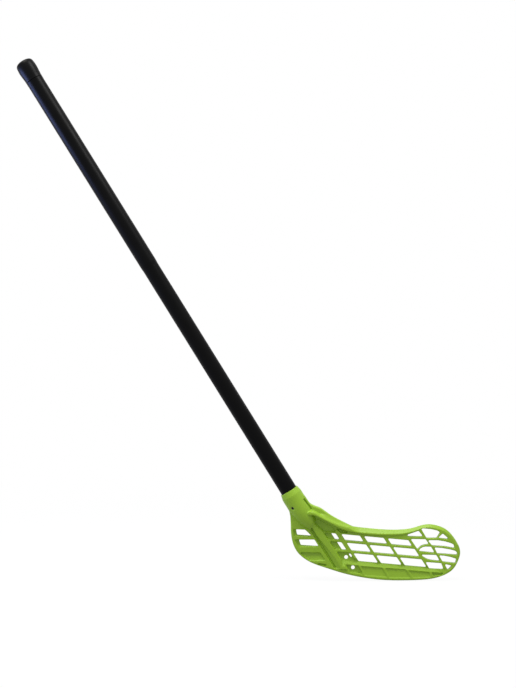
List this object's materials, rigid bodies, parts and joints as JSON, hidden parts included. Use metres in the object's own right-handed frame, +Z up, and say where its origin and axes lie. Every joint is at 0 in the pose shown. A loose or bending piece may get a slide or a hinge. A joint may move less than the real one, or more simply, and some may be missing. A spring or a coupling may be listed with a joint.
{
  "type": "floorball stick",
  "caption": "Light indoor hockey stick with a straight round shaft, a domed end cap and an open grille blade with a hooked toe.",
  "frame": {"origin": "on the shaft's axis, in the middle of the hand grip", "axes": "+Z up in playing pose, +X towards the blade's toe, +Y towards the side the toe hooks to"},
  "size_m": [0.6549, 0.0316, 0.77],
  "materials": {
    "blade_plastic": "satin moulded plastic",
    "shaft_composite": "satin",
    "grip_skin": "satin",
    "cap_plastic": "satin",
    "screw_steel": "dark oxide"
  },
  "bodies": {
    "root": {"blade": "blade_plastic", "shaft_tube": "shaft_composite", "grip_sleeve": "grip_skin", "end_cap": "cap_plastic", "blade_screws": "screw_steel"}
  },
  "joints": []
}
